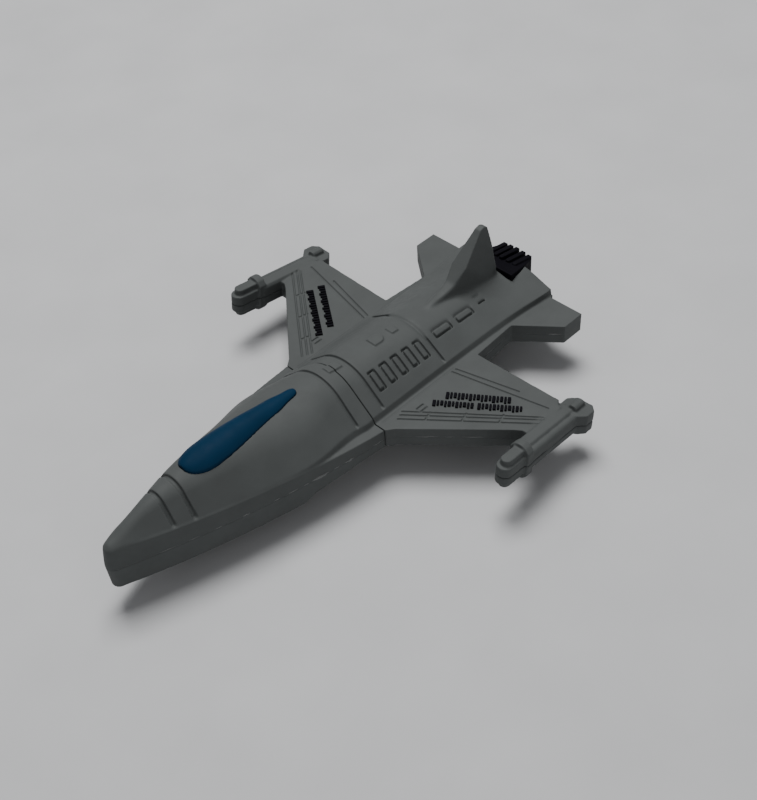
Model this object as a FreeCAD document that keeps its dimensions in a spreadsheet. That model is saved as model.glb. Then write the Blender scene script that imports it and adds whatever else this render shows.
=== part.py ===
import FreeCAD, Part
import math
import os
import Sketcher
from FreeCAD import Placement, Rotation, Vector

# A novelty flash drive shaped like a small jet. The nose is a pull-off cap; the body
# carries the drive. Lengths are millimetres. Everything is drawn in the aircraft's own
# datum: x = 0 at the wing root's leading edge, +X to the nose, y = 0 on the centre line,
# z = 0 on the parting plane where the upper and lower mouldings meet. One placement then
# stands every sub-part on its belly with the whole length centred.

SIZES = [
    ("wing_datum", -1.42),
    ("seam_height", 7.0),
    ("split_station", 1.2),
    ("split_gap", 0.12),
    ("slab_half", 1.64),
    ("nose_tip", 42.4),
    ("nose_tip_half", 1.45),
    ("nose_root_half", 10.2),
    ("nose_bulge", 1.3),
    ("nose_wall", 3.45),
    ("nose_wall_below", 3.8),
    ("nose_draft", 0.3),
    ("nose_tilt", 1.35),
    ("tail_end", 37.0),
    ("belly_depth", 7.0),
    ("foot_height", 2.5),
    ("store_pitch", 6.1),
    ("store_toe", 2.4),
    ("groove_width", 0.52),
    ("groove_depth", 0.42),
    ("slot_depth", 0.42),
    ("frame_width", 0.3),
    ("tile_rise", 0.26),
    ("line_width", 0.26),
    ("line_depth", 0.24),
    ("marking_rise", 0.28),
    ("canopy_rise", 1.0),
    ("canopy_root", 2.2),
    ("nozzle_front", 33.0),
    ("nozzle_rear", 39.2),
    ("nozzle_top", 4.15),
    ("nozzle_slope", 0.19),
    ("nozzle_drop", 3.6),
    ("rib_pitch", 1.22),
    ("plug_width", 12.0),
    ("plug_height", 4.5),
    ("plug_sheet", 0.3),
    ("plug_reach", 12.0),
    ("plug_rear", 5.0),
    ("window_side", 2.2),
    ("window_setback", 5.2),
    ("window_spread", 6.0),
    ("tongue_width", 11.1),
    ("tongue_thick", 1.84),
    ("tongue_setback", 0.5),
    ("contact_thick", 0.2),
    ("contact_width", 1.0),
    ("contact_tail", 2.4),
    ("contact_setback", 1.6),
    ("board_length", 23.4),
    ("board_width", 12.0),
    ("board_thick", 0.8),
    ("case_rear", 30.0),
    ("case_half_width", 6.9),
    ("case_flat_half", 5.2),
    ("case_side_height", 1.9),
    ("case_half_height", 2.95),
    ("case_wall", 0.6),
    ("memory_length", 14.0),
    ("memory_width", 11.0),
    ("memory_thick", 1.0),
    ("controller_side", 7.0),
    ("controller_thick", 0.9),
    ("crystal_length", 3.2),
    ("crystal_width", 2.5),
    ("crystal_thick", 0.8),
    ("chip_part_length", 1.6),
    ("chip_part_width", 0.8),
    ("chip_part_thick", 0.7),
    ("liner_wall", 0.4),
    ("liner_clearance", 0.1),
    ("liner_corner", 0.5),
    ("liner_length", 17.2),
]

doc = FreeCAD.newDocument("jet_drive")
sheet = doc.addObject("Spreadsheet::Sheet", "Sizes")
for row, (alias, value) in enumerate(SIZES, start=1):
    sheet.set("A%d" % row, alias)
    sheet.set("B%d" % row, str(value))
    sheet.setAlias("B%d" % row, alias)
doc.recompute()

size = {alias: float(sheet.get(alias)) for alias, value in SIZES}
stand = Placement(Vector(size["wing_datum"], 0, size["seam_height"]), Rotation())
sub_parts = []


# ---------------------------------------------------------------- helpers

def keep(item, label):
    """Name a finished sub-part and stand it in the part's own frame."""
    item.Label = label
    item.Placement = stand.multiply(item.Placement)
    sub_parts.append(item)
    return item


def moulding(label, shape):
    """Keep a free-form moulding as one feature."""
    item = doc.addObject("Part::Feature", label)
    item.Shape = shape
    return keep(item, label)


def prism(points, low, high):
    """A plan outline of (x, y) corners raised from z = low to z = high."""
    corners = [Vector(x, y, low) for x, y in points]
    face = Part.Face(Part.makePolygon(corners + corners[:1]))
    return face.extrude(Vector(0, 0, high - low))


def side_prism(points, half_width):
    """A side outline of (x, z) corners, spread to y = -half_width and +half_width."""
    corners = [Vector(x, -half_width, z) for x, z in points]
    face = Part.Face(Part.makePolygon(corners + corners[:1]))
    return face.extrude(Vector(0, 2 * half_width, 0))


def front_prism(points, rear, front):
    """A cross-section of (y, z) corners, run from x = rear to x = front."""
    corners = [Vector(rear, y, z) for y, z in points]
    face = Part.Face(Part.makePolygon(corners + corners[:1]))
    return face.extrude(Vector(front - rear, 0, 0))


def box(x_low, x_high, y_low, y_high, z_low, z_high):
    return Part.makeBox(x_high - x_low, y_high - y_low, z_high - z_low, Vector(x_low, y_low, z_low))


def mirror_y(shape):
    return shape.mirror(Vector(0, 0, 0), Vector(0, 1, 0))


def mirror_z(shape):
    return shape.mirror(Vector(0, 0, 0), Vector(0, 0, 1))


def both_sides(shape):
    return [shape, mirror_y(shape)]


def joined(shapes):
    return shapes[0].multiFuse(shapes[1:])


def strip(start, end, width, low, high):
    """A straight bar in plan from start to end, width across."""
    along = Vector(end[0] - start[0], end[1] - start[1], 0)
    across = Vector(-along.y, along.x, 0).normalize() * (width / 2)
    corners = []
    for (x, y), turn in ((start, 1), (end, 1), (end, -1), (start, -1)):
        corners.append((x + turn * across.x, y + turn * across.y))
    return prism(corners, low, high)


# ---------------------------------------------------------------- the dome

# Each station of the dome: x, half width at its base, half width and height of its edge,
# crown height, and the slope of the straight flank in degrees. The low wall leans in from
# the base to the edge, and an arc over the top joins the two flanks.
TAIL_DOME = [
    (1.2, 9.0, 7.8, 2.5, 7.35, 40.5),
    (-1.1, 9.0, 7.8, 2.5, 7.12, 40.7),
    (-8.0, 9.0, 7.8, 2.5, 6.7, 38.5),
    (-14.0, 9.0, 7.8, 2.5, 6.25, 34.5),
    (-21.0, 9.05, 7.85, 2.5, 5.8, 30),
    (-26.0, 9.1, 7.95, 2.5, 5.45, 26),
    (-32.0, 9.1, 8.4, 2.55, 5.05, 21.5),
    (-37.0, 9.15, 8.85, 2.6, 4.75, 20),
]
NOSE_DOME = [
    (1.2, 9.0, 7.8, 2.5, 7.35, 40.5),
    (4.1, 9.0, 7.85, 2.6, 7.7, 43.3),
    (8.0, 9.0, 8.0, 2.85, 7.85, 46),
    (12.5, 8.5, 8.35, 2.7, 7.95, 48),
    (16.0, 7.9, 7.8, 2.5, 8.05, 50),
    (20.0, 7.1, 7.0, 2.62, 8.1, 52),
    (25.0, 5.95, 5.82, 2.8, 8.05, 56),
    (30.0, 4.65, 4.5, 3.0, 7.6, 58),
    (34.0, 3.45, 3.3, 3.15, 6.75, 57),
    (38.0, 2.2, 2.08, 3.35, 5.3, 54),
    (41.7, 0.85, 0.66, 3.5, 3.82, 40),
]
BELLY_TAIL_DOME = [
    (1.2, 9.0, 7.75, 1.9, 7.3, 47),
    (-8.0, 9.0, 7.8, 2.0, 7.3, 47),
    (-21.0, 9.05, 7.85, 2.15, 7.2, 46),
    (-29.0, 9.1, 8.2, 2.2, 6.4, 38),
    (-37.0, 9.15, 8.85, 2.4, 4.9, 20),
]
BELLY_NOSE_DOME = [
    (1.2, 9.0, 7.75, 1.9, 7.3, 47),
    (14.0, 8.0, 7.8, 3.5, 7.6, 49),
    (25.0, 5.85, 5.65, 3.7, 7.5, 52),
    (34.0, 3.5, 3.3, 3.7, 6.2, 50),
    (41.3, 1.1, 0.95, 3.7, 4.15, 38),
]


def flank_section(x, base_half, edge_half, edge, crown, slope, inset):
    """One closed cross-section of the dome, drawn inset below its surface."""
    angle = math.radians(slope)
    base = base_half - inset
    half = edge_half - inset
    edge = edge - inset * (1 - math.sin(angle)) / math.cos(angle)
    rise = crown - inset - edge
    radius = (half * math.tan(angle) - rise) / (1 / math.cos(angle) - 1)
    tangent_y = radius * math.sin(angle)
    tangent_z = edge + rise - radius + radius * math.cos(angle)
    base_left = Vector(x, base, 0)
    edge_left = Vector(x, half, edge)
    arc_left = Vector(x, tangent_y, tangent_z)
    top = Vector(x, 0, edge + rise)
    arc_right = Vector(x, -tangent_y, tangent_z)
    edge_right = Vector(x, -half, edge)
    base_right = Vector(x, -base, 0)
    return Part.Wire([
        Part.makeLine(base_left, edge_left),
        Part.makeLine(edge_left, arc_left),
        Part.Arc(arc_left, top, arc_right).toShape(),
        Part.makeLine(arc_right, edge_right),
        Part.makeLine(edge_right, base_right),
        Part.makeLine(base_right, base_left),
    ])


def dome(stations, inset=0.0):
    """The dome through its stations as one smooth solid."""
    return Part.makeLoft([flank_section(*station, inset) for station in stations], True, False)


def crown_at(stations, x):
    """Crown height of the dome at x, between its two nearest stations."""
    ordered = sorted(stations)
    for rear, front in zip(ordered, ordered[1:]):
        if rear[0] <= x <= front[0]:
            share = (x - rear[0]) / (front[0] - rear[0])
            return rear[4] + share * (front[4] - rear[4])
    return ordered[-1][4]


def sunk(prisms, stations, depth):
    """Cutters for recesses: everything of the prisms that lies above the sunken dome."""
    floor = dome(stations, depth)
    return [one.cut(floor) for one in prisms]


def raised(prisms, stations, rise):
    """Tiles that stand a little proud of the dome."""
    skin = dome(stations, -rise)
    return [one.common(skin) for one in prisms]


ABOVE = 9.5          # clear of the highest dome


def ring_band(x, width, foot):
    """A plan band across the dome at x, for a groove that ends at height foot on each side."""
    return box(x - width / 2, x + width / 2, -11, 11, foot, ABOVE)


# ---------------------------------------------------------------- wings and tail

SPLIT = size["split_station"]
GAP = size["split_gap"] / 2
SLAB = size["slab_half"]
TAIL_END = -size["tail_end"]

# The port half of the flat slab seen from above, from the split round the wing and the
# tailplane to the tail end.
PORT_EDGE = [
    (SPLIT - GAP, 10.15),
    (0.0, 11.0),
    (-10.9, 23.6),
    (-11.5, 24.5),
    (-11.6, 25.6),
    (-18.6, 25.6),
    (-18.9, 24.95),
    (-19.6, 24.4),
    (-19.2, 9.5),
    (-27.4, 9.0),
    (-32.4, 15.3),
    (-36.4, 15.3),
    (-36.4, 9.3),
    (TAIL_END, 9.2),
]


def tail_slab():
    starboard = [(x, -y) for x, y in reversed(PORT_EDGE)]
    return prism(PORT_EDGE + starboard, 0, SLAB)


def nose_outline(inset, height):
    """The nose's plan outline at a height: two long arcs that meet in a small round tip."""
    root = size["nose_root_half"] - inset
    tip = size["nose_tip"] - inset
    tip_half = size["nose_tip_half"] - inset
    start = Vector(SPLIT + GAP, root, height)
    end = Vector(tip - tip_half * 0.85, tip_half, height)
    chord = end - start
    outward = Vector(-chord.y, chord.x, 0).normalize()
    middle = (start + end) * 0.5 + outward * size["nose_bulge"]
    mirrored = [Vector(point.x, -point.y, height) for point in (end, middle, start)]
    return Part.Wire([
        Part.Arc(start, middle, end).toShape(),
        Part.Arc(end, Vector(tip, 0, height), mirrored[0]).toShape(),
        Part.Arc(*mirrored).toShape(),
        Part.makeLine(mirrored[2], start),
    ])


RAMP_START = 3.0
RAMP_END = size["nose_tip"] + 1


def shoulder_at(x):
    """Height of the nose's upper wall at x: it climbs steadily from the split to the tip."""
    share = (x - RAMP_START) / (RAMP_END - RAMP_START)
    return SLAB + share * (size["nose_wall"] - SLAB)


def nose_slab(wall, top):
    """The band round the nose under its dome: a drafted wall as high as the side profile top."""
    blank = Part.makeLoft([nose_outline(0, 0), nose_outline(size["nose_draft"], wall)], True, True)
    profile = [(SPLIT, 0), (SPLIT, SLAB), (RAMP_START, SLAB)] + top + [(RAMP_END, wall), (RAMP_END, 0)]
    return blank.common(side_prism(profile, 12))


def fin():
    """The tail fin: side outline, plan wedge and front taper in common."""
    outline = [
        (-16.6, 5.6), (-19.5, 6.35), (-22.0, 6.85), (-23.6, 7.45), (-29.2, 12.95), (-29.9, 13.75),
        (-30.8, 14.0), (-31.5, 13.6), (-31.8, 11.6), (-32.05, 9.3), (-32.4, 6.4), (-32.6, 4.0),
        (-16.6, 4.0),
    ]
    side = side_prism(outline, 3)
    port = [(-16.0, 0.2), (-24.0, 1.1), (-30.0, 2.1), (-33.0, 1.75)]
    wedge = prism(port + [(x, -y) for x, y in reversed(port)], 3, 15)
    taper = front_prism([(2.25, 4.5), (0.5, 14.1), (-0.5, 14.1), (-2.25, 4.5)], -35, -16)
    return side.common(wedge).common(taper)


STORE_MIDDLE = 26.95
STORE_PIVOT = Vector(-13.0, STORE_MIDDLE, 0)


def tip_store(share):
    """Half of the slim store on the port wing tip, share of its full height, nose up and out."""
    rail = front_prism(
        [(25.2, 0), (25.2, 1.55), (25.55, 2.05), (27.15, 2.05), (27.5, 1.6), (27.8, 1.85),
         (28.25, 1.65), (28.5, 1.15), (28.5, 0)], -19.6, -8.0)
    nose_base = Part.makeCylinder(1.25, 1.6, Vector(-4.3, STORE_MIDDLE, 0))
    neck_base = box(-8.5, -4.3, STORE_MIDDLE - 1.25, STORE_MIDDLE + 1.25, 0, 1.6)
    nose_top = Part.makeCylinder(0.85, 2.6, Vector(-4.5, STORE_MIDDLE, 0))
    neck_top = box(-8.5, -4.5, STORE_MIDDLE - 0.85, STORE_MIDDLE + 0.85, 0, 2.6)
    collar = front_prism(
        [(25.35, 0), (25.35, 2.1), (25.95, 2.9), (26.6, 3.2), (27.3, 3.2), (27.95, 2.9),
         (28.6, 2.1), (28.6, 0)], -8.6, -7.2)
    flare = prism(
        [(-18.3, 25.4), (-19.2, 24.9), (-21.2, 24.9), (-22.4, 26.0), (-22.4, 28.6),
         (-21.5, 29.5), (-19.9, 29.5), (-18.8, 28.5)], 0, 1.85)
    ridge = front_prism(
        [(26.4, 0), (26.4, 2.35), (26.75, 2.7), (27.45, 2.7), (27.8, 2.35), (27.8, 0)], -21.6, -19.3)
    store = joined([rail, nose_base, neck_base, nose_top, neck_top, collar, flare, ridge])
    flatten = FreeCAD.Matrix()
    flatten.scale(1, 1, share)
    return store.transformGeometry(flatten)


def posed(store):
    """A store turned nose up and nose out about the middle of the wing tip."""
    pose = store.copy()
    pose.rotate(STORE_PIVOT, Vector(0, 1, 0), -size["store_pitch"])
    pose.rotate(STORE_PIVOT, Vector(0, 0, 1), size["store_toe"])
    return pose


def wing_lines():
    """Panel lines on the port wing, as thin bars to cut from the slab's top."""
    low = SLAB - size["line_depth"]
    high = SLAB + 0.3
    width = size["line_width"]
    leading = [((-3.1, 9.2), (-15.5, 25.1)), ((-2.4, 9.5), (-15.1, 25.4)), ((-1.6, 9.8), (-14.1, 25.4))]
    lines = [strip(start, end, width, low, high) for start, end in leading]
    for span_y in (12.9, 16.9, 21.0):
        ahead = -1.6 - (span_y - 9.8) * 12.5 / 15.6
        lines.append(strip((ahead, span_y), (ahead - 1.75, span_y - 0.55), width, low, high))
    lines.append(strip((0.3, 8.75), (-15.0, 8.75), width, low, high))
    lines.append(strip((-14.7, 9.0), (-17.2, 19.2), width, low, high))
    lines.append(strip((-13.9, 9.0), (-17.3, 24.5), width, low, high))
    pill_outer = strip((-4.8, 10.9), (-6.3, 10.9), 1.0, low, high)
    pill_inner = strip((-5.0, 10.9), (-6.1, 10.9), 0.55, low - 0.1, high)
    lines.append(pill_outer.cut(pill_inner))
    return lines


# ---------------------------------------------------------------- recesses on the dome

def frame(rear, front, inboard, outboard):
    """A rectangular frame to sink into the port flank, which leaves a pad standing inside it."""
    foot = size["foot_height"]
    wide = size["frame_width"]
    outer = box(rear, front, inboard, outboard, foot, ABOVE)
    return outer.cut(box(rear + wide, front - wide, inboard + wide, outboard - wide, foot - 1, ABOVE + 1))


def port_recesses():
    """Five framed slots, two framed windows and two short grooves on the port flank of the dome."""
    foot = size["foot_height"]
    slots = []
    for index in range(5):
        front = -2.25 - 2.3 * index
        slots.append(frame(front - 1.42, front, 3.4, 6.05))
    windows = [frame(-19.15, -15.45, 3.4, 4.75), frame(-23.95, -20.3, 3.4, 4.75)]
    ticks = [box(-26.95, -25.45, 2.7, 3.0, foot, ABOVE), box(-26.95, -25.45, 3.9, 4.2, foot, ABOVE)]
    return slots + windows + ticks


def spine_tiles():
    """Low tiles on the spine: a rounded one, a square one, and the rear of the hatch."""
    rounded = joined([
        Part.makeCylinder(0.95, ABOVE, Vector(-7.95, 0, 0)),
        box(-7.95, -6.6, -0.95, 0.95, 0, ABOVE),
    ])
    square = box(-11.65, -10.35, -0.75, 0.75, 0, ABOVE)
    hatch_rear = box(-0.2, SPLIT - GAP, -0.75, 0.75, 0, ABOVE)
    return [rounded, square, hatch_rear]


# ---------------------------------------------------------------- fitted pieces

# Half widths of the canopy from its blunt front to its long tail.
CANOPY = [
    (28.45, 0.5), (28.1, 1.3), (27.2, 1.95), (25.8, 2.4), (24.0, 2.55), (22.0, 2.5), (18.5, 2.15),
    (14.5, 1.6), (11.0, 1.05), (9.3, 0.8), (8.7, 0.6), (8.4, 0.3),
]


def canopy_solid():
    """A pillow-shaped teardrop that is seated in the nose and stands proud of it."""
    sections = []
    for x, half in CANOPY:
        crown = crown_at(NOSE_DOME, x)
        rim = crown - half * half / 10.0 + 0.22
        top = crown + 0.25 + (size["canopy_rise"] - 0.25) * min(1.0, half / 2.2)
        low = crown - size["canopy_root"]
        sections.append(Part.Wire([
            Part.makeLine(Vector(x, -half, low), Vector(x, half, low)),
            Part.makeLine(Vector(x, half, low), Vector(x, half, rim)),
            Part.Arc(Vector(x, half, rim), Vector(x, 0, top), Vector(x, -half, rim)).toShape(),
            Part.makeLine(Vector(x, -half, rim), Vector(x, -half, low)),
        ]))
    return Part.makeLoft(sections, True, False)


def nozzle_prism(high):
    """The exhaust block's plan outline raised from its underside to a height."""
    front = -size["nozzle_front"]
    rear = -size["nozzle_rear"]
    plan = [(front, 4.2), (-37.0, 3.5), (rear, 3.0), (rear, -3.0), (-37.0, -3.5), (front, -4.2)]
    return prism(plan, -size["nozzle_drop"], high)


def nozzle_solid():
    """The exhaust block let into the tail, sloping down to the rear, with ribs over its rear half."""
    front = -size["nozzle_front"]
    rear = -size["nozzle_rear"]
    top = size["nozzle_top"]
    slope = size["nozzle_slope"]
    block = nozzle_prism(6).common(side_prism(
        [(rear, -5), (rear, top), (front, top + slope * (front - rear)), (front, -5)], 5))
    ribs = []
    for index in range(-2, 3):
        middle = index * size["rib_pitch"]
        half = 0.38
        crest = top + 0.6 - 0.13 * abs(index)
        start = -35.6 - 0.12 * abs(index)
        rise = slope * (start - rear)
        profile = [(rear - 0.35, 2.0), (rear - 0.35, crest), (start, crest + rise), (start, 2.0)]
        ribs.append(side_prism(profile, half).translated(Vector(0, middle, 0)))
        ribs.append(box(rear - 0.35, rear + 0.1, middle - half, middle + half, -2.6, crest))
        ribs.append(Part.makeCylinder(half, crest + rise - 2.0, Vector(start, middle, 2.0)))
    return joined([block] + ribs).removeSplitter()


def marking_bars(rows):
    """Short bars side by side along rows on a wing: a plain stencil pattern."""
    bars = []
    widths = (0.46, 0.32, 0.42, 0.32)
    for start, end, count, height in rows:
        along = Vector(end[0] - start[0], end[1] - start[1], 0)
        step = along * (1 / (count - 1))
        across = Vector(along.y, -along.x, 0).normalize() * height
        for index in range(count):
            foot = Vector(start[0], start[1], 0) + step * index - across * 0.5
            head = foot + across * (1.0 - 0.12 * (index % 3))
            bars.append(strip((foot.x, foot.y), (head.x, head.y), widths[index % 4],
                              SLAB, SLAB + size["marking_rise"]))
    return Part.makeCompound(bars)


# ---------------------------------------------------------------- outer mouldings

def case_blank(low_z, high_z):
    """The outside of the drive's inner case between two heights, to hollow the body with."""
    wide = size["case_half_width"]
    flat = size["case_flat_half"]
    side = size["case_side_height"]
    tall = size["case_half_height"]
    profile = [(wide, -side), (wide, side), (flat, tall), (-flat, tall),
               (-wide, side), (-wide, -side), (-flat, -tall), (flat, -tall)]
    whole = front_prism(profile, -size["case_rear"], SPLIT - GAP)
    return whole.common(box(-50, 50, -20, 20, low_z, high_z))


LINER_HALF_WIDTH = size["plug_width"] / 2 + size["liner_clearance"] + size["liner_wall"]
LINER_HALF_HEIGHT = size["plug_height"] / 2 + size["liner_clearance"] + size["liner_wall"]


def liner_blank():
    """The outside of the cap's liner, to hollow the nose with."""
    wide = LINER_HALF_WIDTH
    tall = LINER_HALF_HEIGHT
    corner = size["liner_corner"]
    profile = [(wide, -tall + corner), (wide, tall - corner), (wide - corner, tall), (corner - wide, tall),
               (-wide, tall - corner), (-wide, corner - tall), (corner - wide, -tall), (wide - corner, -tall)]
    return front_prism(profile, SPLIT + GAP, SPLIT + GAP + size["liner_length"])


BEHIND_SPLIT = box(-60, SPLIT - GAP, -40, 40, -20, 20)
AHEAD_OF_SPLIT = box(SPLIT + GAP, 60, -40, 40, -20, 20)
OVER_BELLY = box(-60, 60, -40, 40, -size["belly_depth"], 20)


def ring_grooves(places, stations):
    bands = [ring_band(x, width, foot) for x, width, foot in places]
    return sunk(bands, stations, size["groove_depth"])


def tilted(shape):
    """The nose's outside, turned slightly nose up about the split."""
    turned = shape.copy()
    turned.rotate(Vector(SPLIT, 0, 0), Vector(0, 1, 0), -size["nose_tilt"])
    return turned


def tail_upper():
    solids = [tail_slab(), dome(TAIL_DOME), fin()] + both_sides(posed(tip_store(1.0)))
    solids += raised(spine_tiles(), TAIL_DOME, size["tile_rise"])
    blank = joined(solids).common(BEHIND_SPLIT)
    width = size["groove_width"]
    foot = size["foot_height"]
    cutters = ring_grooves([(-1.15, width, foot), (-14.0, width, foot)], TAIL_DOME)
    cutters += sunk(port_recesses(), TAIL_DOME, size["slot_depth"])
    for line in wing_lines():
        cutters += both_sides(line)
    cutters += [nozzle_prism(ABOVE), case_blank(-5, 5)]
    return blank.cut(cutters)


def tail_lower(upper):
    body = mirror_z(joined([tail_slab(), dome(BELLY_TAIL_DOME)])).common(OVER_BELLY)
    stores = both_sides(posed(mirror_z(tip_store(0.85))))
    blank = joined([body] + stores).common(BEHIND_SPLIT)
    return blank.cut([nozzle_prism(ABOVE), case_blank(-5, 5), upper])


def nose_upper():
    hatch_front = [box(SPLIT + GAP, 2.5, -0.75, 0.75, 0, ABOVE)]
    solids = [nose_slab(size["nose_wall"], []), dome(NOSE_DOME)]
    solids += raised(hatch_front, NOSE_DOME, size["tile_rise"])
    places = [(4.1, size["groove_width"], 2.6)]
    places += [(x, 0.55, shoulder_at(x) + 0.05) for x in (30.45, 33.3)]
    blank = joined(solids).cut(ring_grooves(places, NOSE_DOME))
    return tilted(blank).common(AHEAD_OF_SPLIT).cut([tilted(canopy_solid()), liner_blank()])


def nose_lower():
    wall = size["nose_wall_below"]
    steps = [(5.6, 1.82), (9.2, 2.3), (12.6, 2.5), (15.0, wall)]
    blank = tilted(mirror_z(joined([nose_slab(wall, steps), dome(BELLY_NOSE_DOME)])))
    return blank.common(AHEAD_OF_SPLIT).common(OVER_BELLY).cut([liner_blank()])


upper_tail = tail_upper()
moulding("tail_upper_shell", upper_tail)
moulding("tail_lower_shell", tail_lower(upper_tail))
moulding("nose_upper_shell", nose_upper())
moulding("nose_lower_shell", nose_lower())
moulding("canopy", tilted(canopy_solid()))
moulding("exhaust_nozzle", nozzle_solid())
moulding("left_wing_marking", marking_bars([
    ((-9.7, 12.05), (-14.7, 19.35), 17, 1.25),
    ((-7.3, 11.65), (-10.4, 16.1), 11, 1.1),
    ((-11.0, 16.9), (-14.4, 21.75), 12, 1.15),
]))
moulding("right_wing_marking", marking_bars([
    ((-12.7, -19.85), (-6.7, -11.5), 19, 1.15),
    ((-14.7, -19.35), (-9.2, -11.7), 17, 1.15),
]))


# ---------------------------------------------------------------- pieces drawn from sketches

def amount(terms):
    """The value of a length given as (factor, alias) pairs from the sheet."""
    return sum(factor * size[alias] for factor, alias in terms)


def formula(terms):
    """The same length as an expression for the document."""
    return " + ".join("%g * Sizes.%s" % pair for pair in terms)


def negative(terms):
    return [(-factor, alias) for factor, alias in terms]


def origin_plane(body, role):
    return next(item for item in body.Origin.OriginFeatures if item.Role == role)


def sketch_on(body, name, role, offset):
    """A sketch on one of the body's own planes, moved along the plane's normal."""
    sketch = body.newObject("Sketcher::SketchObject", name)
    sketch.AttachmentSupport = [(origin_plane(body, role), "")]
    sketch.MapMode = "FlatFace"
    sketch.setExpression("AttachmentOffset.Base.z", formula(offset))
    return sketch


def hold(sketch, axis, corner, terms):
    """Fix one coordinate of a line's start at its distance from the sketch's origin."""
    value = amount(terms)
    if value >= 0:
        ends = (-1, 1, corner, 1)
        distance = terms
    else:
        ends = (corner, 1, -1, 1)
        distance = negative(terms)
    index = sketch.addConstraint(Sketcher.Constraint("Distance" + axis, *ends, abs(value)))
    sketch.setExpression("Constraints[%d]" % index, formula(distance))


def outline(sketch, corners):
    """A closed polygon whose corners are bound to the sheet."""
    spots = [Vector(amount(across), amount(up), 0) for across, up in corners]
    first = sketch.GeometryCount
    for index, spot in enumerate(spots):
        sketch.addGeometry(Part.LineSegment(spot, spots[(index + 1) % len(spots)]), False)
    for index in range(len(spots)):
        following = first + (index + 1) % len(spots)
        sketch.addConstraint(Sketcher.Constraint("Coincident", first + index, 2, following, 1))
    for index, (across, up) in enumerate(corners):
        hold(sketch, "X", first + index, across)
        hold(sketch, "Y", first + index, up)


def rectangle(sketch, left, right, low, high):
    outline(sketch, [(left, low), (right, low), (right, high), (left, high)])


def pad(body, name, sketch, length):
    feature = body.newObject("PartDesign::Pad", name)
    feature.Profile = sketch
    feature.setExpression("Length", formula(length))
    return feature


def pocket(body, name, sketch, length, towards_normal):
    """Cut along the sketch's normal, or against it."""
    feature = body.newObject("PartDesign::Pocket", name)
    feature.Profile = sketch
    feature.Reversed = towards_normal
    feature.setExpression("Length", formula(length))
    return feature


def round_long_edges(body, name, feature, radius, direction):
    """Fillet a feature's outer edges that run along a direction for its whole length."""
    doc.recompute()
    names = []
    for index, edge in enumerate(feature.Shape.Edges, start=1):
        along = edge.Vertexes[-1].Point - edge.Vertexes[0].Point
        if along.Length > 1 and abs(along.normalize().dot(direction)) > 0.999:
            names.append("Edge%d" % index)
    fillet = body.newObject("PartDesign::Fillet", name)
    fillet.Base = (feature, names)
    fillet.Radius = radius
    return fillet


def flat_block(label, left, right, near, far, bottom, thick):
    """A rectangular piece lying flat: plan rectangle, bottom height and thickness."""
    body = doc.addObject("PartDesign::Body", label)
    sketch = sketch_on(body, label + "_outline", "XY_Plane", bottom)
    rectangle(sketch, left, right, near, far)
    pad(body, label + "_pad", sketch, thick)
    return keep(body, label)


HALF_PLUG_WIDTH = [(0.5, "plug_width")]
HALF_PLUG_HEIGHT = [(0.5, "plug_height")]
INNER_PLUG_WIDTH = [(0.5, "plug_width"), (-1, "plug_sheet")]
INNER_PLUG_HEIGHT = [(0.5, "plug_height"), (-1, "plug_sheet")]
PLUG_REAR = [(-1, "plug_rear")]
PLUG_LENGTH = [(1, "plug_rear"), (1, "split_station"), (1, "plug_reach")]
PLUG_TIP = [(1, "split_station"), (1, "plug_reach")]


def plug_shell():
    """The plug's folded steel sleeve, open at both ends, with two latch windows each side."""
    body = doc.addObject("PartDesign::Body", "plug_shell")
    outer = sketch_on(body, "plug_outer", "YZ_Plane", PLUG_REAR)
    rectangle(outer, negative(HALF_PLUG_WIDTH), HALF_PLUG_WIDTH, negative(HALF_PLUG_HEIGHT), HALF_PLUG_HEIGHT)
    bar = pad(body, "plug_bar", outer, PLUG_LENGTH)
    round_long_edges(body, "plug_corners", bar, 0.5, Vector(1, 0, 0))
    inner = sketch_on(body, "plug_inner", "YZ_Plane", PLUG_REAR)
    rectangle(inner, negative(INNER_PLUG_WIDTH), INNER_PLUG_WIDTH, negative(INNER_PLUG_HEIGHT), INNER_PLUG_HEIGHT)
    pocket(body, "plug_hollow", inner, PLUG_LENGTH, True)
    windows = sketch_on(body, "plug_window_outline", "XY_Plane", negative(HALF_PLUG_HEIGHT))
    front = PLUG_TIP + [(-1, "window_setback")]
    rear = front + [(-1, "window_side")]
    inside = [(0.5, "window_spread"), (-0.5, "window_side")]
    outside = [(0.5, "window_spread"), (0.5, "window_side")]
    rectangle(windows, rear, front, inside, outside)
    rectangle(windows, rear, front, negative(outside), negative(inside))
    pocket(body, "plug_windows", windows, [(1, "plug_height")], True)
    return keep(body, "plug_shell")


TONGUE_TOP = INNER_PLUG_HEIGHT
TONGUE_LOW = INNER_PLUG_HEIGHT + [(-1, "tongue_thick")]
TONGUE_FRONT = PLUG_TIP + [(-1, "tongue_setback")]


def contact_tongue():
    """The insulating tongue against the roof of the plug."""
    return flat_block("contact_tongue", PLUG_REAR, TONGUE_FRONT,
                      [(-0.5, "tongue_width")], [(0.5, "tongue_width")], TONGUE_LOW, [(1, "tongue_thick")])


CONTACT_OFFSETS = (-3.5, -1.0, 1.0, 3.5)
BOARD_FRONT = [(-1, "plug_rear"), (-1, "contact_thick")]
BOARD_TOP = TONGUE_LOW + [(-1, "contact_thick")]


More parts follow.
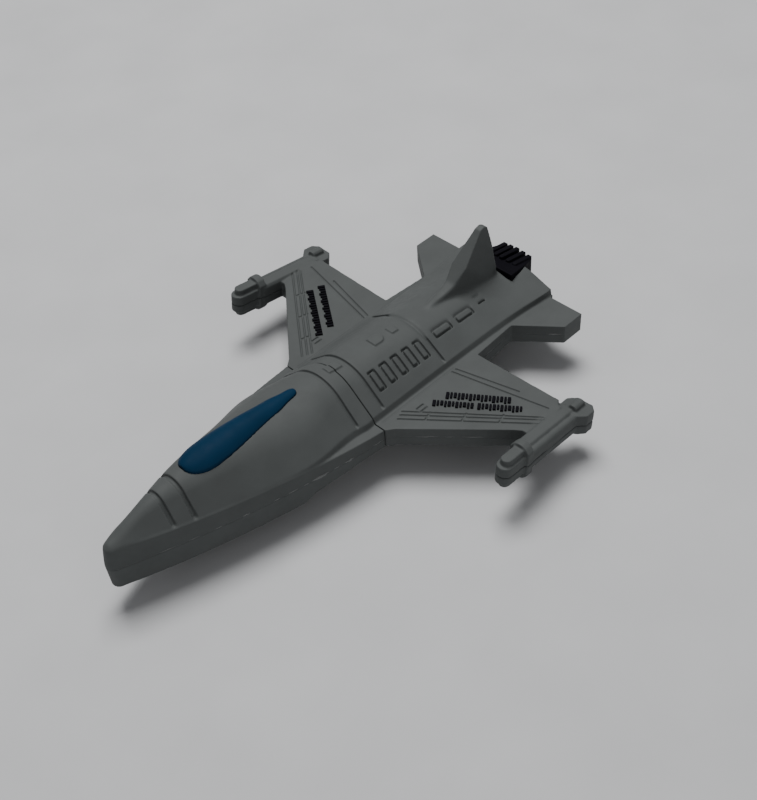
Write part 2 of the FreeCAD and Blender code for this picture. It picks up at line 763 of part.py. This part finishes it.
def plug_contacts():
    """Four flat contacts under the tongue; their tails lie on the board."""
    strips = []
    for index, offset in enumerate(CONTACT_OFFSETS, start=1):
        strip_box = doc.addObject("Part::Box", "contact_%d" % index)
        tail = PLUG_REAR + [(-1, "contact_tail")]
        tip = TONGUE_FRONT + [(-1, "contact_setback")]
        strip_box.setExpression("Length", formula(tip + negative(tail)))
        strip_box.setExpression("Width", formula([(1, "contact_width")]))
        strip_box.setExpression("Height", formula([(1, "contact_thick")]))
        strip_box.setExpression(".Placement.Base.x", formula(tail))
        strip_box.setExpression(".Placement.Base.y", "%g - 0.5 * Sizes.contact_width" % offset)
        strip_box.setExpression(".Placement.Base.z", formula(BOARD_TOP))
        strips.append(strip_box)
    group = doc.addObject("Part::Compound", "plug_contacts")
    group.Links = strips
    return keep(group, "plug_contacts")


def circuit_board():
    return flat_block("circuit_board", BOARD_FRONT + [(-1, "board_length")], BOARD_FRONT,
                      [(-0.5, "board_width")], [(0.5, "board_width")],
                      BOARD_TOP + [(-1, "board_thick")], [(1, "board_thick")])


def board_pieces():
    """The chips and the crystal, on the board's two faces."""
    board_rear = BOARD_FRONT + [(-1, "board_length")]
    edge = [(1, "chip_part_width")]
    flat_block("memory_chip", board_rear + edge, board_rear + edge + [(1, "memory_length")],
               [(-0.5, "memory_width")], [(0.5, "memory_width")], BOARD_TOP, [(1, "memory_thick")])
    crystal_front = PLUG_REAR + [(-1, "contact_tail"), (-1, "chip_part_thick")]
    flat_block("crystal", crystal_front + [(-1, "crystal_width")], crystal_front,
               [(0.5, "crystal_length")], [(1.5, "crystal_length")], BOARD_TOP, [(1, "crystal_thick")])
    under = BOARD_TOP + [(-1, "board_thick"), (-1, "controller_thick")]
    controller_front = BOARD_FRONT + [(-1, "controller_side")]
    flat_block("controller_chip", controller_front + [(-1, "controller_side")], controller_front,
               [(-0.5, "controller_side")], [(0.5, "controller_side")], under, [(1, "controller_thick")])


def chip_parts(label, spots, bottom):
    """Small soldered parts in one node: (x, y) of each, along +Y."""
    pieces = []
    for index, (x, y) in enumerate(spots, start=1):
        piece = doc.addObject("Part::Box", "%s_%d" % (label, index))
        piece.setExpression("Length", formula([(1, "chip_part_width")]))
        piece.setExpression("Width", formula([(1, "chip_part_length")]))
        piece.setExpression("Height", formula([(1, "chip_part_thick")]))
        piece.setExpression(".Placement.Base.z", formula(bottom))
        piece.Placement.Base = Vector(x, y, amount(bottom))
        pieces.append(piece)
    group = doc.addObject("Part::Compound", label)
    group.Links = pieces
    return keep(group, label)


def case_profile(sketch, inset, sign):
    """Half of the inner case's eight-sided section, above (+1) or below (-1) the seam."""
    wide = [(1, "case_half_width"), (-inset, "case_wall")]
    side = [(sign, "case_side_height"), (-0.5 * sign * inset, "case_wall")]
    flat = [(1, "case_flat_half"), (-0.5 * inset, "case_wall")]
    tall = [(sign, "case_half_height"), (-sign * inset, "case_wall")]
    seam = [(0, "case_wall")]
    outline(sketch, [(wide, seam), (wide, side), (flat, tall), (negative(flat), tall),
                     (negative(wide), side), (negative(wide), seam)])


def inner_case(label, sign):
    """One half of the hard case round the board, with its seat for the plug."""
    body = doc.addObject("PartDesign::Body", label)
    rear = [(-1, "case_rear")]
    front = [(1, "split_station"), (-0.5, "split_gap")]
    outer = sketch_on(body, label + "_outer", "YZ_Plane", rear)
    case_profile(outer, 0, sign)
    pad(body, label + "_block", outer, front + negative(rear))
    inner = sketch_on(body, label + "_inner", "YZ_Plane", rear + [(1, "case_wall")])
    case_profile(inner, 1, sign)
    pocket(body, label + "_hollow", inner, front + negative(rear) + [(-2, "case_wall")], True)
    seat = sketch_on(body, label + "_seat_outline", "YZ_Plane", PLUG_REAR)
    seam = [(0, "case_wall")]
    side = [(sign * factor, alias) for factor, alias in HALF_PLUG_HEIGHT]
    rectangle(seat, negative(HALF_PLUG_WIDTH), HALF_PLUG_WIDTH, seam, side)
    pocket(body, label + "_seat", seat, front + negative(PLUG_REAR), True)
    return keep(body, label)


def cap_liner():
    """A thin sleeve, closed at its far end, that grips the plug inside the cap."""
    blank = doc.addObject("Part::Feature", "liner_outside")
    blank.Shape = liner_blank()
    bore = doc.addObject("Part::Box", "liner_bore")
    bore_width = [(1, "plug_width"), (2, "liner_clearance")]
    bore_height = [(1, "plug_height"), (2, "liner_clearance")]
    bore.setExpression("Length", formula([(1, "liner_length"), (-1, "liner_wall")]))
    bore.setExpression("Width", formula(bore_width))
    bore.setExpression("Height", formula(bore_height))
    bore.setExpression(".Placement.Base.x", formula([(1, "split_station"), (0.5, "split_gap")]))
    bore.setExpression(".Placement.Base.y", formula([(-0.5 * factor, alias) for factor, alias in bore_width]))
    bore.setExpression(".Placement.Base.z", formula([(-0.5 * factor, alias) for factor, alias in bore_height]))
    sleeve = doc.addObject("Part::Cut", "cap_liner")
    sleeve.Base = blank
    sleeve.Tool = bore
    return keep(sleeve, "cap_liner")


plug_shell()
contact_tongue()
plug_contacts()
circuit_board()
board_pieces()
chip_parts("capacitors", [(-9.6, -4.6), (-9.6, -1.6), (-9.6, 2.6), (-21.8, -3.4)],
           BOARD_TOP + [(-1, "board_thick"), (-1, "chip_part_thick")])
chip_parts("resistors", [(-22.0, 0.4), (-23.6, 0.4), (-25.2, 0.4)],
           BOARD_TOP + [(-1, "board_thick"), (-1, "chip_part_thick")])
inner_case("inner_case_upper", 1)
inner_case("inner_case_lower", -1)
cap_liner()


# ---------------------------------------------------------------- check and write

doc.recompute()
for item in doc.Objects:
    if "Invalid" in item.State or "Error" in item.State:
        raise RuntimeError("%s did not build: %s" % (item.Label, item.State))

os.makedirs("parts", exist_ok=True)
for item in sub_parts:
    shape = item.Shape
    if shape.isNull() or not shape.isValid():
        raise RuntimeError("%s has no valid shape" % item.Label)
    shape.exportStep("parts/%s.step" % item.Label)
    print("%-20s %3d solids %9.2f mm3" % (item.Label, len(shape.Solids), shape.Volume))
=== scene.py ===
import math
import random
import bpy
import numpy as np
from mathutils import Matrix, Vector
from mathutils.bvhtree import BVHTree


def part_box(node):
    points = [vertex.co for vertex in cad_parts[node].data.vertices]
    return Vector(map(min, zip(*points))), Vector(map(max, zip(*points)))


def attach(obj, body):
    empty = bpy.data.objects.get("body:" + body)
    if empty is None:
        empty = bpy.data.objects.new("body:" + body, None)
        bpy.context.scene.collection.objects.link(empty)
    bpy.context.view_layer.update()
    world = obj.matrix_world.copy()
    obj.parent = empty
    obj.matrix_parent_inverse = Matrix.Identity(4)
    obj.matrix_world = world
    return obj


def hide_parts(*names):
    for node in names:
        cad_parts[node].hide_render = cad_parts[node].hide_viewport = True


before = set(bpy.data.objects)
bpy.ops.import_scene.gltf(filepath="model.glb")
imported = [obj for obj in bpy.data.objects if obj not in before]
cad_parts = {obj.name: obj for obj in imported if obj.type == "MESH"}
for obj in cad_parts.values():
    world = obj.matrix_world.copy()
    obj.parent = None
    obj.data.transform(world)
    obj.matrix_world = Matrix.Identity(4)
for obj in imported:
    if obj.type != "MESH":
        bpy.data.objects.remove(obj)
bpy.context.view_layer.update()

# A small jet in soft PVC whose nose pulls off a flash drive plug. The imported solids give
# every place and size; here their mouldings get softly rounded edges, the parting line
# its flash, and every piece its material. Blender's places are in metres, and the meshes
# are worked on in millimetres.

MM = 0.001
scene = bpy.context.scene

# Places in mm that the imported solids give, and one beyond them all.
SEAM_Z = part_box("nose_upper_shell")[0].z / MM
SPLIT_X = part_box("tail_lower_shell")[1].x / MM
TAIL_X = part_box("tail_upper_shell")[0].x / MM
NOSE_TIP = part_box("nose_lower_shell")[1] / MM
WING_TIP_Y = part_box("tail_upper_shell")[1].y / MM
NOSE_CLIMB = (NOSE_TIP.z - SEAM_Z) / (NOSE_TIP.x - SPLIT_X)
FAR = 60

# How finely the mouldings are remeshed, in mm.
BODY_VOXEL = 0.1
NOZZLE_VOXEL = 0.08
FINE_VOXEL = 0.05

# How far one pass of softening draws a vertex, and the share of it that is left at the
# parting line, along the canopy's seat and on the wings' fine lines.
SOFTENING_STEP = 0.5
SEAM_SHARE = 0.45
SEAT_SHARE = 0.3
LINE_SHARE = 0.25

# Vertices within this reach of the parting plane lap past it by this much, in mm.
JOINT_REACH = 0.12
JOINT_LAP = 0.045


def seam_height(x):
    """Height of the parting plane at x: level along the tail, climbing along the nose."""
    return SEAM_Z + np.maximum(0.0, x - SPLIT_X) * NOSE_CLIMB


# ---------------------------------------------------------------- meshes

def new_object(name, mesh):
    item = bpy.data.objects.new(name, mesh)
    scene.collection.objects.link(item)
    return item


def evaluated_mesh(item):
    """The object's mesh with its modifiers applied."""
    bpy.context.view_layer.update()
    graph = bpy.context.evaluated_depsgraph_get()
    return bpy.data.meshes.new_from_object(item.evaluated_get(graph), depsgraph=graph)


def modified(mesh, kind, **settings):
    """A copy of the mesh with one modifier applied."""
    item = new_object("work", mesh)
    modifier = item.modifiers.new(kind.title(), kind)
    for key, value in settings.items():
        setattr(modifier, key, value)
    result = evaluated_mesh(item)
    bpy.data.objects.remove(item)
    return result


def vertex_places(mesh):
    flat = np.empty(len(mesh.vertices) * 3)
    mesh.vertices.foreach_get("co", flat)
    return flat.reshape(-1, 3)


def soften(mesh, weight, passes):
    """Draws every vertex towards the middle of its neighbours, by its own weight."""
    places = vertex_places(mesh)
    count = len(places)
    ends = np.empty(len(mesh.edges) * 2, dtype=np.int64)
    mesh.edges.foreach_get("vertices", ends)
    first, second = ends.reshape(-1, 2).T
    moving = weight[first] + weight[second] > 0
    first, second = first[moving], second[moving]
    degree = np.bincount(first, minlength=count) + np.bincount(second, minlength=count)
    degree = np.maximum(degree, 1)
    for _ in range(passes):
        for axis in range(3):
            line = places[:, axis]
            total = np.bincount(first, line[second], count) + np.bincount(second, line[first], count)
            step = total / degree - line
            places[:, axis] += SOFTENING_STEP * weight * step
    mesh.vertices.foreach_set("co", places.ravel())


def band(values, low, high, fade):
    """1 between low and high, falling to 0 over the fade on each side."""
    return np.clip((values - low) / fade + 1, 0, 1) * np.clip((high - values) / fade + 1, 0, 1)


def over_seam(places):
    """Height above the parting plane."""
    return places[:, 2] - seam_height(places[:, 0])


def off_seam(places):
    """Low at the parting plane, so that the two halves keep a tight joint, 1 away from it."""
    return np.clip((np.abs(over_seam(places)) - 0.08) / 0.2, SEAM_SHARE, 1)


def off_canopy(places):
    """Low along the canopy's seat, so that the canopy keeps a clean outline, 1 away from it."""
    weight = np.ones(len(places))
    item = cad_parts["canopy"]
    tree = BVHTree.FromObject(item, bpy.context.evaluated_depsgraph_get())
    low, high = (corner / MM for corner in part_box("canopy"))
    near = np.all((places > np.array(low) - 1) & (places < np.array(high) + 1), axis=1)
    for index in np.flatnonzero(near):
        distance = tree.find_nearest(Vector(places[index]) * MM)[3] / MM
        weight[index] = min(1.0, max(SEAT_SHARE, (distance - 0.12) / 0.3))
    return weight


def off_wing_lines(places):
    """Low on the wings' upper faces, so that their fine lines stay crisp, 1 away from them."""
    outboard = band(np.abs(places[:, 1]), 8.6, WING_TIP_Y - 5.0, 0.4)
    return 1 - (1 - LINE_SHARE) * outboard * band(over_seam(places), 0.9, 6, 0.3)


def fin_root(places):
    """1 round the foot of the fin, where it flows into the spine."""
    x, y, z = places.T
    along = band(x, TAIL_X + 2.0, TAIL_X + 23.5, 1.5)
    return along * band(y, -3.2, 3.2, 0.8) * band(z, SEAM_Z + 4.0, SEAM_Z + 7.6, 1.8)


def nose_shoulder(places):
    """1 along the soft shoulder where the nose's dome turns down into its wall."""
    return band(places[:, 0], SPLIT_X + 9.0, FAR, 6.0) * band(over_seam(places), 1.7, 3.7, 0.5)


def tip_end(places):
    """1 at the very tip of the nose, where the dome runs out into the wall."""
    return band(places[:, 0], NOSE_TIP.x - 2.5, FAR, 1.0) * band(over_seam(places), 2.6, 6, 0.6)


def wing_tips(places):
    """1 over the stores on the wing tips."""
    return band(np.abs(places[:, 1]), WING_TIP_Y - 4.6, FAR, 0.3)


def lapped(places):
    """The places, with those at the parting plane moved a little way past it."""
    half = places[:, 2].mean() - SEAM_Z
    places[:, 2] -= math.copysign(JOINT_LAP, half) * (np.abs(over_seam(places)) < JOINT_REACH)
    return places


def soft_mesh(node, voxel_mm, passes, triangles, spots):
    """The node's solid as soft moulding: every edge rounded, and the spots rounded further.

    The halves reach a little past the parting plane, which closes the joint between them.
    """
    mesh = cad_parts[node].data.copy()
    mesh.materials.clear()
    mesh.transform(Matrix.Scale(1 / MM, 4))
    mesh = modified(mesh, "REMESH", mode="VOXEL", voxel_size=voxel_mm)
    places = vertex_places(mesh)
    weight = off_seam(places)
    if node == "nose_upper_shell":
        weight *= off_canopy(places)
    if node == "tail_upper_shell":
        weight *= off_wing_lines(places)
    soften(mesh, weight, passes)
    for spot, further in spots:
        soften(mesh, weight * spot(places), further)
    mesh.vertices.foreach_set("co", lapped(vertex_places(mesh)).ravel())
    mesh = modified(mesh, "TRIANGULATE")
    count = len(mesh.polygons)
    if count > triangles:
        mesh = modified(mesh, "DECIMATE", ratio=triangles / count)
    mesh.transform(Matrix.Scale(MM, 4))
    return mesh


def soft_piece(node, body, materials, voxel_mm=BODY_VOXEL, passes=4, triangles=180000,
               spots=(), flash=()):
    """A soft moulding that stands for its CAD solid, with slivers of flash on its parting line."""
    mesh = soft_mesh(node, voxel_mm, passes, triangles, spots)
    if flash:
        mesh = with_flash(mesh, flash)
    for material in materials:
        mesh.materials.append(material)
    mesh.shade_smooth()
    piece = new_object(node + "_skin", mesh)
    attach(piece, body)
    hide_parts(node)


# ---------------------------------------------------------------- flash

# A sliver has this many stations. Its foot is sunk into the wall, and it runs just above
# the parting plane. The wall is found by a ray that starts outside it. All in mm.
FLASH_STATIONS = 9
FLASH_SINK = 0.02
FLASH_RISE = 0.12
OUTSIDE = 3
dice = random.Random(7)


def flash_sliver(tree, start, end, inward, width):
    """Vertices, in metres, and faces of one closed sliver that clings to the parting line."""
    inward = Vector((*inward, 0)).normalized()
    vertices = []
    for index in range(FLASH_STATIONS):
        share = index / (FLASH_STATIONS - 1)
        x = start[0] + share * (end[0] - start[0])
        y = start[1] + share * (end[1] - start[1])
        outside = Vector((x, y, seam_height(x) + FLASH_RISE)) - inward * OUTSIDE
        place = tree.ray_cast(outside * MM, inward)[0] / MM
        half = width * (0.15 + math.sin(math.pi * share) * dice.uniform(0.5, 1.0)) / 2
        up = Vector((0, 0, half))
        sunk = place + inward * FLASH_SINK
        crest = place - inward * half * dice.uniform(0.4, 0.8) - 0.4 * up
        drift = Vector((0, 0, dice.uniform(-0.05, 0.05)))
        vertices += [(corner + drift) * MM for corner in (sunk + up, crest, sunk - up)]
    faces = []
    last = 3 * (FLASH_STATIONS - 1)
    for near in range(0, last, 3):
        far = near + 3
        for side in range(3):
            other = (side + 1) % 3
            faces.append((near + side, near + other, far + other, far + side))
    faces.append((2, 1, 0))
    faces.append((last, last + 1, last + 2))
    return vertices, faces


def with_flash(mesh, slivers):
    """The mesh with slivers of flash added to it in its second material."""
    places = [vertex.co.copy() for vertex in mesh.vertices]
    corners = [tuple(polygon.vertices) for polygon in mesh.polygons]
    tree = BVHTree.FromPolygons(places, corners)
    skin_faces = len(corners)
    for sliver in slivers:
        vertices, faces = flash_sliver(tree, *sliver)
        first = len(places)
        places += vertices
        corners += [tuple(first + corner for corner in face) for face in faces]
    result = bpy.data.meshes.new("skin")
    result.from_pydata(places, [], corners)
    kinds = np.zeros(len(corners), dtype=np.int32)
    kinds[skin_faces:] = 1
    result.polygons.foreach_set("material_index", kinds)
    return result


# ---------------------------------------------------------------- materials

def new_material(name):
    material = bpy.data.materials.new(name)
    material.use_nodes = True
    return material, material.node_tree, material.node_tree.nodes["Principled BSDF"]


def add_node(tree, kind, **inputs):
    node = tree.nodes.new(kind)
    for key, value in inputs.items():
        node.inputs[key.replace("_", " ")].default_value = value
    return node


def object_position(tree):
    return tree.nodes.new("ShaderNodeTexCoord").outputs["Object"]


def noise_of(tree, scale, detail=2.0):
    node = add_node(tree, "ShaderNodeTexNoise", Scale=scale, Detail=detail)
    tree.links.new(object_position(tree), node.inputs["Vector"])
    return node.outputs["Fac"]


def ramp(tree, factor, stops):
    """A colour ramp with stops of (position, colour)."""
    node = tree.nodes.new("ShaderNodeValToRGB")
    tree.links.new(factor, node.inputs["Fac"])
    elements = node.color_ramp.elements
    while len(elements) < len(stops):
        elements.new(0.5)
    for element, (position, colour) in zip(elements, stops):
        element.position = position
        element.color = (*colour, 1)
    return node.outputs["Color"]


def bump(tree, height, strength, distance_mm):
    node = add_node(tree, "ShaderNodeBump", Strength=strength, Distance=distance_mm * MM)
    tree.links.new(height, node.inputs["Height"])
    return node.outputs["Normal"]


def shaded(colour, factor):
    return tuple(channel * factor for channel in colour)


def grey_of(value):
    return (value, value, value)


def soft_pvc(name, colour, roughness, mottle=0.12, gleam=0.14):
    """Soft PVC: slightly mottled, finely grained, with a broad dull sheen."""
    material, tree, shader = new_material(name)
    cloudy = noise_of(tree, 260, 3)
    tone = ramp(tree, cloudy, [(0.3, shaded(colour, 1 - mottle)), (0.7, shaded(colour, 1 + mottle))])
    tree.links.new(tone, shader.inputs["Base Color"])
    duller, glossier = grey_of(roughness + 0.06), grey_of(roughness - 0.06)
    gloss = ramp(tree, noise_of(tree, 900), [(0.3, glossier), (0.7, duller)])
    tree.links.new(gloss, shader.inputs["Roughness"])
    tree.links.new(bump(tree, noise_of(tree, 5200), 0.25, 0.02), shader.inputs["Normal"])
    shader.inputs["Specular IOR Level"].default_value = gleam
    return material


def metal(name, colour, roughness, stretch=(1, 1, 1)):
    """Sheet metal with fine scratches, drawn out along one axis by the stretch."""
    material, tree, shader = new_material(name)
    mapping = add_node(tree, "ShaderNodeMapping", Scale=stretch)
    tree.links.new(object_position(tree), mapping.inputs["Vector"])
    grain = add_node(tree, "ShaderNodeTexNoise", Scale=2500, Detail=3.0)
    tree.links.new(mapping.outputs["Vector"], grain.inputs["Vector"])
    fine = grain.outputs["Fac"]
    tone = ramp(tree, fine, [(0.3, shaded(colour, 0.88)), (0.7, colour)])
    tree.links.new(tone, shader.inputs["Base Color"])
    gloss = ramp(tree, fine, [(0.3, grey_of(roughness * 0.7)), (0.7, grey_of(roughness * 1.3))])
    tree.links.new(gloss, shader.inputs["Roughness"])
    tree.links.new(bump(tree, fine, 0.15, 0.01), shader.inputs["Normal"])
    shader.inputs["Metallic"].default_value = 1.0
    return material


def board_laminate(name):
    """Green solder mask over a faint glass weave, with the copper's tracks showing through."""
    material, tree, shader = new_material(name)
    tracks = add_node(tree, "ShaderNodeTexBrick", Scale=420, Mortar_Size=0.08)
    tracks.inputs["Color1"].default_value = (0.008, 0.10, 0.035, 1)
    tracks.inputs["Color2"].default_value = (0.012, 0.135, 0.045, 1)
    tracks.inputs["Mortar"].default_value = (0.02, 0.19, 0.07, 1)
    tree.links.new(object_position(tree), tracks.inputs["Vector"])
    tree.links.new(tracks.outputs["Color"], shader.inputs["Base Color"])
    tree.links.new(bump(tree, noise_of(tree, 3000), 0.2, 0.01), shader.inputs["Normal"])
    shader.inputs["Roughness"].default_value = 0.28
    return material


def dress(material, *nodes):
    """Gives a material to CAD nodes that are shown as they are."""
    for node in nodes:
        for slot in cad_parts[node].material_slots:
            slot.material = material


GREY = (0.079, 0.085, 0.084)
BLUE = (0.0045, 0.0265, 0.060)
BLACK = (0.0056, 0.0052, 0.0076)
TORN = (0.19, 0.195, 0.195)

grey_pvc = soft_pvc("grey_pvc", GREY, 0.6, 0.05)
torn_pvc = soft_pvc("torn_pvc", TORN, 0.7)
blue_pvc = soft_pvc("blue_pvc", BLUE, 0.6, 0.08, 0.05)
black_pvc = soft_pvc("black_pvc", BLACK, 0.6, 0.1, 0.04)

dress(metal("plug_steel", (0.62, 0.62, 0.63), 0.26, (1, 14, 14)), "plug_shell")
dress(metal("contact_gold", (0.86, 0.62, 0.24), 0.22, (1, 8, 8)), "plug_contacts")
dress(metal("crystal_can", (0.68, 0.68, 0.70), 0.3), "crystal")
dress(soft_pvc("tongue_plastic", (0.72, 0.72, 0.68), 0.4, 0.04), "contact_tongue")
dress(soft_pvc("case_plastic", (0.02, 0.02, 0.02), 0.45),
      "inner_case_upper", "inner_case_lower", "cap_liner")
dress(soft_pvc("chip_resin", (0.014, 0.014, 0.015), 0.55, 0.25),
      "memory_chip", "controller_chip", "resistors")
dress(soft_pvc("capacitor_ceramic", (0.34, 0.23, 0.14), 0.35), "capacitors")
dress(board_laminate("board_laminate"), "circuit_board")


# ---------------------------------------------------------------- the mouldings

# Slivers of flash: start and end in plan, the way into the wall, and width, in mm.
FLANK_INWARD = (0, -1)
LEADING_EDGE_INWARD = (-0.756, -0.654)
TAILPLANE_INWARD = (-0.783, -0.62)
FLANK_Y = 10
NOSE_FLASH = [
    ((x - length / 2, FLANK_Y), (x + length / 2, FLANK_Y), FLANK_INWARD, width)
    for x, length, width in [
        (1.2, 1.8, 0.16), (6.2, 1.6, 0.34), (8.4, 1.0, 0.16), (11.1, 2.8, 0.5), (13.4, 0.8, 0.26),
        (15.6, 1.8, 0.18), (18.0, 1.0, 0.2), (22.6, 1.1, 0.26), (26.6, 1.0, 0.2), (30.0, 1.6, 0.12),
        (33.6, 2.2, 0.16),
    ]
]
TAIL_FLASH = [
    ((-3.2, 13.0), (-5.4, 15.5), LEADING_EDGE_INWARD, 0.2),
    ((-5.9, 16.1), (-6.9, 17.3), LEADING_EDGE_INWARD, 0.12),
    ((-7.4, 17.8), (-9.8, 20.7), LEADING_EDGE_INWARD, 0.18),
    ((-31.9, 13.2), (-33.4, 15.0), TAILPLANE_INWARD, 0.32),
    ((-22.0, FLANK_Y), (-25.5, FLANK_Y), FLANK_INWARD, 0.12),
]

GREYS = (grey_pvc, torn_pvc)
soft_piece("tail_upper_shell", "airframe", GREYS,
           spots=[(fin_root, 60), (wing_tips, 6)], flash=TAIL_FLASH)
soft_piece("tail_lower_shell", "airframe", (grey_pvc,), spots=[(wing_tips, 6)])
soft_piece("nose_upper_shell", "cap", GREYS,
           spots=[(nose_shoulder, 12), (tip_end, 40)], flash=NOSE_FLASH)
soft_piece("nose_lower_shell", "cap", (grey_pvc,))
soft_piece("canopy", "cap", (blue_pvc,),
           voxel_mm=FINE_VOXEL, passes=8, triangles=90000)
soft_piece("exhaust_nozzle", "airframe", (black_pvc,),
           voxel_mm=NOZZLE_VOXEL, passes=3, triangles=60000)
for marking in ("left_wing_marking", "right_wing_marking"):
    soft_piece(marking, "airframe", (black_pvc,),
               voxel_mm=FINE_VOXEL, passes=2, triangles=80000)


# ---------------------------------------------------------------- stage

FLOOR_TONES = [(0.3, (0.56, 0.563, 0.57)), (0.7, (0.60, 0.603, 0.61))]


def pale_floor():
    bpy.ops.mesh.primitive_plane_add(size=2.0)
    floor = bpy.context.object
    floor.name = "floor"
    material, tree, shader = new_material("floor_paper")
    tone = ramp(tree, noise_of(tree, 60, 4), FLOOR_TONES)
    tree.links.new(tone, shader.inputs["Base Color"])
    shader.inputs["Roughness"].default_value = 0.8
    floor.data.materials.append(material)


def soft_light(name, place, width, power):
    """A square lamp that faces the object, with its place and width in metres and power in watts."""
    lamp = bpy.data.lights.new(name, "AREA")
    lamp.size = width
    lamp.energy = power
    item = new_object(name, lamp)
    item.location = place
    item.rotation_euler = (-Vector(place)).to_track_quat("-Z", "Y").to_euler()


def add_world():
    world = bpy.data.worlds.new("studio")
    world.use_nodes = True
    background = world.node_tree.nodes["Background"]
    background.inputs["Color"].default_value = (0.96, 0.97, 1.0, 1)
    background.inputs["Strength"].default_value = 0.19
    scene.world = world


CAMERA_PLACE = Vector((0.08636, 0.1031, 0.1388))
CAMERA_LOOK = Vector((-0.4851, -0.5257, -0.6988))
CAMERA_UP = Vector((-0.5256, -0.4633, 0.7135))
CAMERA_LENS = 58.48


def add_camera():
    camera = bpy.data.cameras.new("camera")
    camera.sensor_width = 36
    camera.lens = CAMERA_LENS
    camera.clip_start = 0.005
    item = new_object("camera", camera)
    back = -CAMERA_LOOK.normalized()
    right = CAMERA_UP.cross(back).normalized()
    up = back.cross(right)
    turn = Matrix((right, up, back)).transposed().to_4x4()
    item.matrix_world = Matrix.Translation(CAMERA_PLACE) @ turn
    scene.camera = item


pale_floor()
add_camera()
soft_light("window", (-0.08, -0.12, 0.50), 0.26, 2.85)
soft_light("room", (0.22, 0.55, 0.22), 0.5, 0.6)
add_world()
